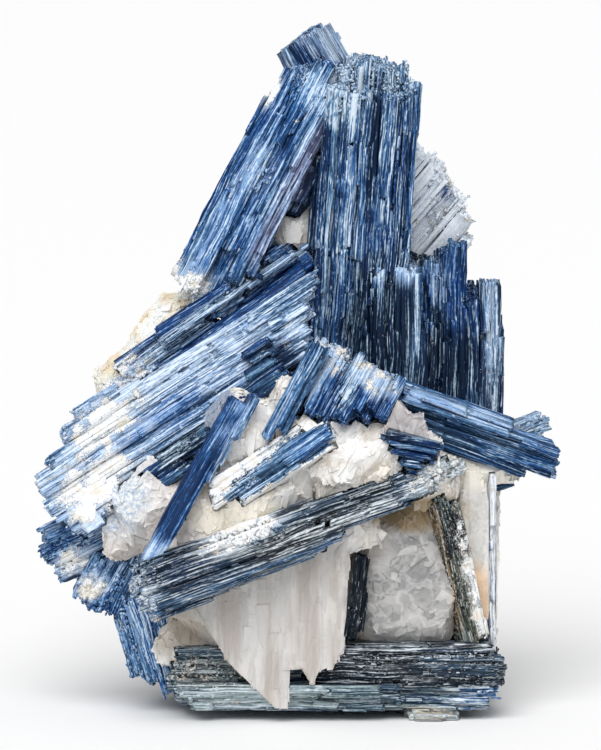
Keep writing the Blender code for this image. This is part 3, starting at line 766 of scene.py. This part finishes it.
# The long blue kyanite blade that stands free in front, glassy and even: one broad face with narrow
# stepped strips beside it. It rises from the left end of the heavy blade that crosses the front.
dress_bundle(
    "narrow_blue_blade", "blue_kyanite", (ROYAL, ROYAL, BLUE), 9, wear=0.02, ragged=0.3, widths=(3, 6),
    cuts=(3.7, 4.0, 5.0), rib_gap=0.04, rib_step=0.1, thicknesses=(1.0, 1.6), splints=0.02, run=(60, 90),
    own=0.1,
    patches=(
        Patch((-17.2, 54), (18, 0.8), STEEL, 0.7),
        Patch((-31, 35), (4, 5), SKY, 0.95),
        Patch((-13.5, 63), (8, 0.8), SKY, 0.6),
    ),
)

# The thin blue kyanite blade that rises out of the white quartz beside the middle block, two narrow
# strips at the slant of the long one.
dress_bundle(
    "thin_blue_blade", "blue_kyanite", (ROYAL, STEEL, BLUE), 10, widths=(0.8, 2.0), thicknesses=(0.8, 1.2),
    splints=0.1,
)

# The squat kyanite block in the middle, in front of the column's foot, with frosted patches on its blades
# and a pale crumbled ridge where they are cut off.
dress_bundle(
    "centre_block", "blue_kyanite", (NAVY, ROYAL, BLUE, STEEL), 11, wear=0.4, run=(8, 30), ragged=0.3,
    widths=(1.5, 6), rib_widths=(5, 10), rib_gap=0.1,
    patches=(
        Patch((3, 73), (4, 2.5), SKY, 0.85, crust=0.25),
        Patch((6, 68), (5, 2), ROYAL, 0.3),
        Patch((11, 71), (6, 1.6), SLATE, 0.8, crust=0.2),
        Patch((17, 68), (5, 3), ROYAL, 0.3),
        Patch((6, 78), (3, 6), PALE, 1.0, crust=0.45),
        Patch((16, 73), (3, 6), PALE, 1.0, crust=0.45),
    ),
    rubble=(Rubble((8, 77), (5, 2.5), 80, 0.6, level=0.5), Rubble((16, 72.5), (6, 2), 80, 0.6, level=0.5)),
)

# The kyanite blade that runs out to the right over the quartz, with a ragged end and a pale strip along its
# upper edge, partly striated stone and partly a painted highlight from the light above.
dress_bundle(
    "right_blade", "blue_kyanite", (NAVY, BLUE, STEEL, SKY), 12, wear=0.4, ragged=1.0,
    patches=(
        # Pale strip along the upper edge: striated stone, partly a painted highlight.
        Patch((30, 67), (18, 1.0), SKY, 0.85, crust=0.2),
        Patch((30, 60), (10, 2), SLATE, 0.3),
        Patch((44, 59), (9, 2), STEEL, 0.6),
        Patch((51, 58.5), (5, 2), BLUE, 0.4),
    ),
)

# The stub of greyish kyanite behind the end of the right blade, worn and crumbly, that rests on the
# quartz ledge.
dress_bundle(
    "grey_stub_blades", "dark_kyanite", (SLATE, SEA, STEEL, SKY), 13, wear=0.75, crust=0.2,
    rubble=(Rubble((51, 60), (4, 3), 50, 1.0),),
)

# The small wedge of dark kyanite that is set in the quartz above the crossing blade: four short blades
# side by side.
dress_bundle(
    "dark_wedge_blades", "dark_kyanite", (INK, NAVY, ROYAL, STEEL), 14, thicknesses=(0.6, 1.1), wear=0.4,
)

# The worn kyanite blade that lies in the white quartz, in three strips: crusted white, and blue where
# the crust is off it.
dress_bundle(
    "worn_blade", "blue_kyanite", (STEEL, SLATE, SKY), 15, wear=0.7, crust=0.75, ragged=0.4,
    widths=(0.8, 2.0), rib_widths=(20, 30), run=(20, 40), splints=0.03,
    patches=(
        Patch((-3, 55.6), (12, 2.8), STEEL, 0.4, crust=0),
        Patch((2, 59.5), (5, 2.4), BLUE, 0.3, crust=0),
        Patch((-12, 50), (5, 2.0), SLATE, 0.6, crust=0.15),
    ),
    rubble=(Rubble((-13, 50), (7, 4), 120, 0.6, level=0.4),),
)

# The heavy kyanite blade that crosses the front, charcoal to slate blue. Its thick left end stands free,
# crumbly and frosted, and its right end thins out on the quartz.
dress_bundle(
    "long_cross_blade", "dark_kyanite", (INK, CHARCOAL, SLATE, SLATE, STEEL), 16, look="grey_kyanite",
    wear=0.45, ragged=0.5,
    patches=(
        Patch((-34, 27), (3, 7), STEEL, 1.0, crust=0.2),
        Patch((-24, 33), (9, 5), NAVY, 0.35),
        Patch((5, 42), (20, 2.6), CHARCOAL, 0.6),
        Patch((-8, 32.5), (24, 1.2), STEEL, 0.6),
        Patch((30, 51), (8, 4), SLATE, 0.95, crust=0.4),
        Patch((-13, 40.5), (9, 2.4), MIST, 0.9, crust=0.8),
        Patch((32, 52), (6, 4), LICHEN, 1.1, crust=0.5),
    ),
    rubble=(
        Rubble((-33, 28), (4, 7), 260, 0.8), Rubble((30, 51), (7, 3), 160, 0.9, level=-0.1),
        Rubble((-13, 41), (10, 3), 320, 0.9, level=0.5, rise=0.25),
    ),
)

# The short dark kyanite blade caught between two lumps of quartz, under the crossing blade, with chips
# of its own at its foot.
dress_bundle(
    "inclusion_blade", "dark_kyanite", (INK, CHARCOAL), 17, look="grey_kyanite", thicknesses=(0.6, 1.0),
    wear=0.2,
    rubble=(Rubble((10.5, 20), (2.5, 4), 30, 0.9, level=-0.1),),
)

# The dark green seam that climbs the right side, between the glassy quartz and the wall: two crumbly
# blades with rusty and crusted edges.
dress_bundle(
    "green_seam", "green_seam", (INK, MOSS, MOSS, SEA), 18, crust=0.2, wear=0.5, run=(4, 15),
    patches=(
        Patch((31, 33), (16, 1.4), RUST, 0.4),
        Patch((38, 27), (17, 1.7), (0.44, 0.38, 0.30), 0.9, crust=0.6),
        Patch((34, 38), (5, 3), INK, 0.2),
    ),
    rubble=(
        Rubble((33, 28), (4, 17), 420, 0.9, level=-0.1, rise=0.2),
        Rubble((31, 42), (4, 5), 80, 0.8, level=0.3, rise=0.1),
    ),
)

# The thin kyanite blade seen edge-on in the quartz wall at the right, nearly as pale as the wall, and
# the small fin that stands out under the right blade.
dress_bundle(
    "edge_needle", "blue_kyanite", (SKY, PALE), 19, look="white_kyanite", wear=0.6, widths=(0.5, 1.0),
    thicknesses=(0.5, 1.0),
    patches=(
        Patch((41.8, 31), (34, 3), (0.62, 0.62, 0.62), 0.9, crust=0.2),
        Patch((41.3, 27), (16, 0.35), SKY, 0.5),
    ),
)
dress_bundle("right_splinter", "blue_kyanite", (SLATE, STEEL), 20, widths=(0.5, 1.0))

# Blocky kyanite at the lower left: a chunk that sticks out to the side, a lower one under it, and the
# granular column that goes down from them to the base.
dress_bundle(
    "left_chunk", "blue_kyanite", MID, 21, along=(0.9, 0, 0.43), wear=0.5, run=(4, 12), ragged=1.2,
    patches=(Patch((-50, 31), (4, 3), MIST, 1.0, crust=0.6),),
    rubble=(Rubble((-50, 32), (6, 5), 160, 1.0, level=0.1),),
)
dress_bundle(
    "left_low_chunk", "blue_kyanite", MID, 22, along=(0.46, 0.07, 0.89), wear=0.5, run=(4, 12), ragged=1.2,
    patches=(Patch((-46, 26), (3, 3), MIST, 1.0, crust=0.6),),
    rubble=(Rubble((-44, 25), (5, 6), 160, 1.0, level=0.1),),
)
dress_bundle(
    "left_column", "blue_kyanite", MID, 23, wear=0.6, crust=0.1,
    rubble=(Rubble((-35, 17), (5, 16), 700, 0.9, level=0.05, rise=0.15),),
)

# Flat-lying kyanite blades that the whole cluster stands on, grey green to the left and blue to the
# right, with a pale worn end under them, and darker blades over them.
dress_bundle(
    "base_blades", "green_kyanite", (NAVY, SLATE, SEA, LICHEN), 24, wear=0.5, crust=0.1,
    patches=(
        Patch((-20, 8), (12, 3), MOSS, 0.7, crust=0.35),
        Patch((-14, 2), (14, 1.6), LICHEN, 0.8, crust=0.25),
        Patch((42, 3), (9, 3.5), BLUE, 0.55),
        Patch((28, -1.5), (6, 1.6), (0.42, 0.37, 0.29), 0.9, crust=0.15),
    ),
    rubble=(Rubble((-22, 7), (9, 4), 160, 0.7), Rubble((40, 7), (3, 4), 80, 0.8)),
)
dress_bundle(
    "base_dark_blades", "dark_kyanite", (INK, INK, CHARCOAL, SLATE), 25, look="grey_kyanite", wear=0.45,
    rubble=(Rubble((14, 9), (14, 3), 240, 0.9, level=-0.1), Rubble((34, 9), (11, 4), 260, 0.9, level=-0.1)),
)

# Kyanite blades on the hidden side: a tall bundle up the back of the quartz, one that crosses the back,
# and two shorter ones above and beside them.
dress_bundle("back_tall_blades", "blue_kyanite", MID, 26, wear=0.45)
dress_bundle("back_cross_blades", "pale_kyanite", LIGHT, 27, wear=0.7, crust=0.2)
dress_bundle("back_upper_blades", "dark_kyanite", DARK, 28, wear=0.4)
dress_bundle("back_short_blades", "dark_kyanite", DARK, 29, wear=0.4)


# Milky vein quartz that the blades grew in. It broke in shallow flats, so each face carries shards that
# stand a little proud of it: angular ones in the middle, long upright ones on the sheet that hangs in
# front, and low close-set grains on the glassy lump at the right.
Breakage = namedtuple("Breakage", "at reach least most stretch flat tilt swing stand")
PLAIN_BREAKAGE = Breakage(None, None, 1.6, 7.0, 1.8, 0.38, 14, 30, 0.08)
QUARTZ_BREAKAGE = (
    Breakage((-6, -24, 18), (24, 10, 22), 0.8, 2.6, 5.0, 0.20, 2, 4, 0.02),  # the hanging sheet
    Breakage((-36, -16, 42), (17, 16, 14), 2.5, 8.0, 1.2, 0.35, 9, 90, 0.04),  # the left shoulder
    Breakage((24, -20, 27), (13, 12, 18), 0.8, 4.5, 1.1, 0.40, 9, 180, 0.03),  # the glassy lump
    Breakage((41, -8, 30), (7, 14, 24), 1.5, 5.0, 3.0, 0.25, 3, 12, 0.02),  # the right wall
)
SMALLEST_SHARD = 0.5
CORNER_GAP = 0.35  # how far a shard's corner may lie off the stone, with a twentieth of its size on top
MOST_STAND = 0.6  # how far a shard stands proud at most, before chance
BARE = 1.5  # stone with nothing this near over it shows


def breakage_at(spot, kinds, plain):
    """The kind of breakage at a place in millimetres."""
    for kind in kinds:
        offset = [(spot[i] - kind.at[i] - (LIFT if i == 2 else 0)) / kind.reach[i] for i in range(3)]
        if sum(part * part for part in offset) < 1:
            return kind
    return plain


def lay_shard(out, solid, covers, spot, facing, kind, rng):
    """Sets one shard in the surface at spot, small enough to reach neither past the solid's edge nor
    over another crystal."""
    size = kind.least + (kind.most - kind.least) * rng.random() ** 2
    size = min(size, 1.4 * covers.find_nearest(spot)[3] / kind.stretch ** 0.5)
    if size < SMALLEST_SHARD:
        return SMALLEST_SHARD
    turn = Matrix.Rotation(math.radians(rng.gauss(0, kind.tilt)), 3, facing.orthogonal())
    out_way = (turn @ facing).normalized()
    up = Vector((0, 0, 1)) if abs(out_way.z) < 0.95 else Vector((1, 0, 0))
    up = (up - out_way * up.dot(out_way)).normalized()
    up.rotate(Matrix.Rotation(math.radians(rng.uniform(-kind.swing, kind.swing)), 3, out_way))
    side = up.cross(out_way)
    for _ in range(5):
        corners = [
            spot + side * size * u * 0.5 + up * size * kind.stretch * v * 0.5
            for u, v in ((-1, 0), (1, 0), (0, -1), (0, 1))
        ]
        if max(solid.find_nearest(corner)[3] for corner in corners) < CORNER_GAP + 0.05 * size:
            break
        size *= 0.7
    else:
        return size
    thick = size * kind.flat
    stand = min(MOST_STAND, kind.stand * size) * rng.uniform(0.4, 1.6)
    points, faces = rng.choice(CHIPS)
    axes = np.array(Matrix((side, up, out_way)))
    shape = points * (size * rng.uniform(0.8, 1.25), size * kind.stretch * rng.uniform(0.8, 1.2), thick)
    place = shape @ axes + np.array(spot + out_way * (stand - thick * 0.42))
    add_shape(out, place, faces, place, rng.gauss(0, 1))
    return size


def break_stone(node, name, material, kinds, plain, cover, seed):
    """Replaces a CAD solid by a copy with shards set over its bare surface, cover times over."""
    rng = random.Random(seed)
    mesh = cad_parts[node].data
    corners = [vert.co / MM for vert in mesh.vertices]
    solid = BVHTree.FromPolygons(corners, [tuple(face.vertices) for face in mesh.polygons])
    others, loops = [], []
    for other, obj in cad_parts.items():
        if other != node:
            start = len(others)
            others += [vert.co / MM for vert in obj.data.vertices]
            loops += [tuple(start + i for i in face.vertices) for face in obj.data.polygons]
    covers = BVHTree.FromPolygons(others, loops)
    out = new_pack()
    mesh.calc_loop_triangles()
    for triangle in mesh.loop_triangles:
        a, b, c = (corners[i] for i in triangle.vertices)
        facing = (b - a).cross(c - a)
        wanted = facing.length / 2 * cover
        facing.normalize()
        while wanted > 0:
            spot = random_spot(a, b, c, rng)
            kind = breakage_at(spot, kinds, plain)
            if covers.ray_cast(spot, facing, BARE)[0] is not None:
                wanted -= kind.most ** 2 * 0.3
            else:
                size = lay_shard(out, solid, covers, spot, facing, kind, rng)
                wanted -= size ** 2 * kind.stretch * rng.uniform(0.7, 1.3)
    shards = bpy.data.meshes.new(name)
    points, faces = np.concatenate(out["points"]), np.concatenate(out["faces"])
    shards.from_pydata((points * MM).tolist(), [], faces.tolist())
    shards.attributes.new("shade", "FLOAT", "POINT").data.foreach_set("value", np.concatenate(out["shade"]))
    stone = bpy.data.objects.new(name, shards)
    core = bpy.data.objects.new(name + "_core", mesh.copy())
    core.data.materials.clear()
    core.data.attributes.new("shade", "FLOAT", "POINT")
    deselect()
    for part in (stone, core):
        bpy.context.scene.collection.objects.link(part)
        part.select_set(True)
    bpy.context.view_layer.objects.active = stone
    bpy.ops.object.join()
    stone.data.materials.append(material)
    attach(stone, "root")
    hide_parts(node)


# A region of the quartz that has a tone of its own: an ellipsoid about a place in millimetres.
Stain = namedtuple("Stain", "at reach tone strength soft", defaults=(1.0, 0.3))


def make_quartz():
    """Milky quartz with glassy, ribbed and stained regions; its warm clouds and dark cracks are partly
    painted shade.
    """
    finish = Finish(
        "quartz", IOR=1.54, Specular_IOR_Level=0.35, Subsurface_Weight=0.2, Subsurface_Scale=0.003
    )
    finish.set(finish.shader, "Subsurface Radius", (1.0, 0.95, 0.9))
    place = finish.place()
    shade = finish.attribute("shade", 2)
    cloud = finish.noise(place, (0.12,) * 3, 3.0)
    sugar = finish.noise(place, (1.3,) * 3, 3.0, 0.6)
    ribs = finish.noise(place, (0.35, 0.35, 0.03), 3.0)
    drift = finish.drift(place, 0.25)
    warped = finish.node("VectorMath", {}, {0: finish.scaled(place, (0.22,) * 3), 1: drift})
    veins = finish.node("TexVoronoi", {"feature": "DISTANCE_TO_EDGE"}, {"Vector": warped, "Scale": 1.0})

    def area(spot, reach, soft):
        """1 in an ellipsoid about spot and 0 outside it, with a cloudy edge."""
        offset = finish.node(
            "VectorMath", {"operation": "SUBTRACT"}, {0: place, 1: (spot[0], spot[1], spot[2] + LIFT)}
        )
        scaled = finish.scaled(offset, tuple(1 / part for part in reach))
        away = finish.node("VectorMath", {"operation": "LENGTH"}, {0: scaled}, output=1)
        return finish.step(away + 0.8 * cloud + 0.3 * sugar - 0.55, 1 + soft, 1 - soft)

    # Warm clouds in the white: cream mottles and partly painted shade.
    white = finish.blend(finish.step(cloud + 0.3 * sugar, 0.54, 0.84), (0.94, 0.93, 0.91), (0.80, 0.74, 0.65))
    rosy = finish.blend(finish.step(sugar, 0.3, 0.7), (0.84, 0.78, 0.74), (0.90, 0.87, 0.84))
    # Dark brownish lines between the grains: cracks darkened as painted crevice shade.
    crack_shade = finish.step(veins + 0.25 * sugar, 0.23, 0.13) * finish.step(cloud, 0.38, 0.60)
    white = finish.blend(crack_shade * 0.6, white, (0.52, 0.45, 0.38))
    rosy = finish.blend(crack_shade * 0.5, rosy, (0.52, 0.45, 0.40))
    # The hanging sheet: faint vertical ribs, its grey painted shade from the crossing blade above it.
    ribbed_sheet_shade = finish.blend(finish.step(ribs, 0.36, 0.62), (0.54, 0.49, 0.45), (0.67, 0.65, 0.63))
    grey = finish.blend(finish.step(shade * 0.12 + cloud, 0.38, 0.68), (0.30, 0.30, 0.30), (0.47, 0.46, 0.45))
    glass = finish.blend(finish.step(veins + 0.25 * sugar, 0.26, 0.12) * 0.55, grey, (0.60, 0.59, 0.58))
    slab = finish.blend(finish.step(sugar, 0.3, 0.7), (0.66, 0.65, 0.63), (0.78, 0.77, 0.74))
    frost = finish.blend(finish.step(sugar, 0.38, 0.60), (0.46, 0.57, 0.71), (0.88, 0.88, 0.86))
    smoke = finish.blend(0.6, frost, (0.10, 0.17, 0.32))
    colour = white
    for stain in (
        Stain((-36, -16, 42), (16, 14, 12), rosy),  # left shoulder
        Stain((-6, -24, 18), (22, 11, 22), ribbed_sheet_shade),  # hanging sheet
        Stain((24, -20, 26), (13, 14, 17), glass),  # glassy lump
        Stain((41, -8, 28), (6, 16, 24), slab),  # right wall
        Stain((23, -20, 63), (7, 6, 6), (0.52, 0.49, 0.50)),  # points over the dark wedge
        Stain((39, -8, 52), (11, 12, 5), (0.88, 0.84, 0.75)),  # ledge under the right blade
        Stain((26, -22, 43), (11, 25, 4), (0.36, 0.27, 0.16)),  # brown, under the crossing blade
        Stain((35.5, -14, 26), (2.4, 25, 12), (0.52, 0.34, 0.17)),  # rust, along the green seam
        Stain((38.5, -12, 20), (4, 25, 11), (0.82, 0.60, 0.41)),  # peach, beside its foot
        Stain((-13, -24, 43), (12, 20, 4), (0.93, 0.87, 0.74), 0.8),  # cream, behind the crossing blade
        Stain((-42, -26, 48), (9, 20, 12), frost),  # left end, frosted like the blades over it
        Stain((-28, -24, 17), (8, 20, 6), (0.58, 0.53, 0.46)),  # beige, lower left
        Stain((-19.5, -24, 67), (5, 20, 7), smoke, soft=0.1),  # blue grey, beside the long blade's top
    ):
        share = area(stain.at, stain.reach, stain.soft) * stain.strength
        colour = finish.blend(share, colour, stain.tone)
    colour = finish.blend(finish.step(shade, 0.6, 2.0) * 0.16, colour, (1.0, 1.0, 1.0))
    colour = finish.blend(finish.step(shade, -0.6, -2.0) * 0.16, colour, (0.30, 0.29, 0.28))
    return finish.coat(colour, 0.22 + 0.3 * sugar, sugar + 0.5 * ribs, 0.0003, 0.5)


break_stone(
    "quartz_matrix", "quartz_mass", make_quartz(), QUARTZ_BREAKAGE, PLAIN_BREAKAGE, 1.5, 31,
)


# The cream patch of feldspar at the upper left, behind the ridge blade: sugary, with tan stains, broken
# in small steep flats.
FELDSPAR_BREAKAGE = Breakage(None, None, 0.9, 3.6, 1.2, 0.55, 20, 180, 0.12)


def make_feldspar():
    finish = Finish("feldspar", Subsurface_Weight=0.1, Subsurface_Scale=0.002)
    place = finish.place()
    sugar = finish.noise(place, (1.6,) * 3, 4.0, 0.65)
    cloud = finish.noise(place, (0.2,) * 3, 2.0)
    stained = finish.step(cloud + 0.4 * sugar, 0.55, 0.85)
    cream = finish.blend(stained, (0.90, 0.89, 0.87), (0.80, 0.67, 0.50))
    return finish.coat(cream, 0.45 + 0.3 * sugar, sugar, 0.0005, 0.9)


break_stone(
    "feldspar_patch", "feldspar_mass", make_feldspar(), (), FELDSPAR_BREAKAGE, 1.8, 32,
)


# Floor and light: a wide pale paper floor under one large soft light from above and in front, in a pale
# surround.
FLOOR_SIZE = 60
FLOOR_DROP = 0.0002  # keeps the floor clear of the resting face
SURROUND = 0.45  # strength of the light from all round
SOFTBOX = 2.7  # strength of the soft light
SOFTBOX_SPREAD = math.radians(50)

bpy.ops.mesh.primitive_plane_add(size=FLOOR_SIZE, location=(0, 0, -FLOOR_DROP))
floor = bpy.context.object
floor.name = "floor"
floor_finish = Finish("floor_paper", Base_Color=(0.93, 0.93, 0.93), Roughness=0.8)
floor.data.materials.append(floor_finish.material)

world = bpy.data.worlds.new("studio")
bpy.context.scene.world = world
world.use_nodes = True
world.node_tree.nodes["Background"].inputs[0].default_value = (1, 1, 1, 1)
world.node_tree.nodes["Background"].inputs[1].default_value = SURROUND

bpy.ops.object.light_add(type="SUN", location=(-0.3, -0.5, 1))
sun = bpy.context.object
sun.name = "softbox"
sun.data.energy = SOFTBOX
sun.data.angle = SOFTBOX_SPREAD
sun.rotation_euler = Vector((0.15, 0.75, -0.9)).to_track_quat("-Z", "Y").to_euler()
bpy.context.scene.view_settings.view_transform = "Standard"
